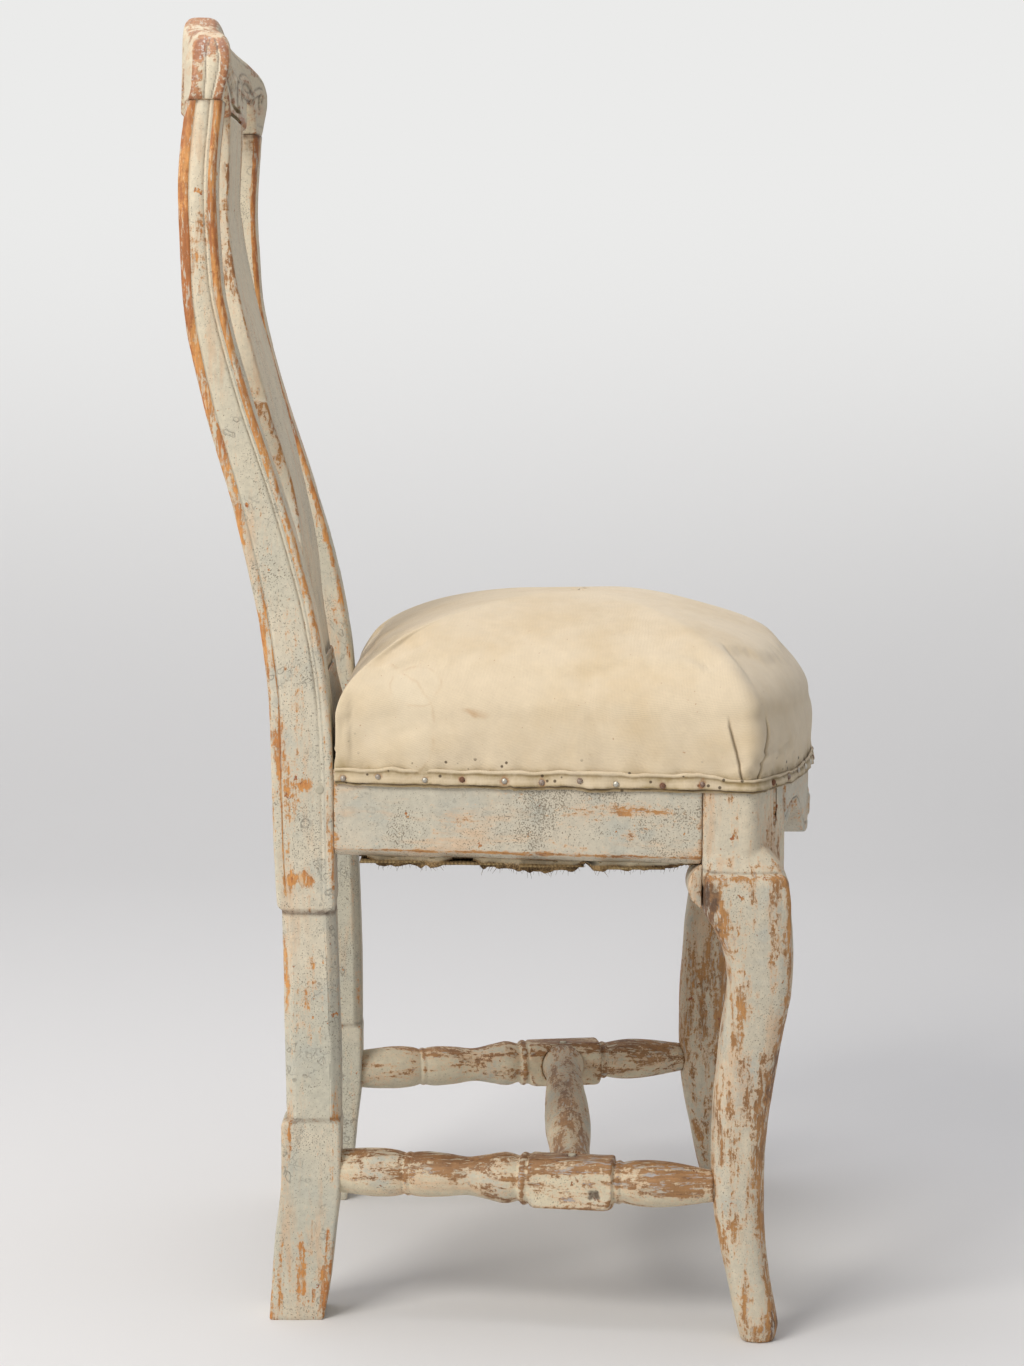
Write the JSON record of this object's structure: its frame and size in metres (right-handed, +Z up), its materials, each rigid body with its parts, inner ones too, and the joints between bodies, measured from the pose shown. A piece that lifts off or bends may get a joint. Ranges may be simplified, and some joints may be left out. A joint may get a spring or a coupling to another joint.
{
  "type": "rococo side chair",
  "caption": "Painted wooden side chair with an S-curved back, vase splat, cabriole front legs, turned stretchers and a domed calico seat.",
  "frame": {"origin": "on the floor, under the middle of the chair's bounding box", "axes": "+Z up, the chair faces -Y, +X to the sitter's left"},
  "size_m": [0.517, 0.5217, 1.033],
  "materials": {
    "painted_wood": "old distressed grey-green paint, worn through to brown wood along the edges",
    "peg_wood": "bare turned pegs, dark with age",
    "calico": "unbleached calico with age stains",
    "straw_pad": "straw and horsehair pad",
    "jute": "frayed jute hessian and webbing",
    "iron_tacks": "rusty cut tacks"
  },
  "bodies": {
    "root": {"rear_leg_left": "painted_wood", "rear_leg_right": "painted_wood", "crest_rail": "painted_wood", "splat": "painted_wood", "splat_shoe": "painted_wood", "rear_rail": "painted_wood", "side_rail_left": "painted_wood", "side_rail_right": "painted_wood", "front_rail": "painted_wood", "front_leg_left": "painted_wood", "front_leg_right": "painted_wood", "ear_left": "painted_wood", "ear_right": "painted_wood", "side_stretcher_left": "painted_wood", "side_stretcher_right": "painted_wood", "cross_stretcher": "painted_wood", "joint_pegs": "peg_wood", "base_cloth": "jute", "webbing_long": "jute", "webbing_cross": "jute", "webbing_tacks": "iron_tacks", "stuffing": "straw_pad", "seat_cover": "calico", "cover_hem": "calico", "cover_tacks": "iron_tacks"}
  },
  "joints": []
}
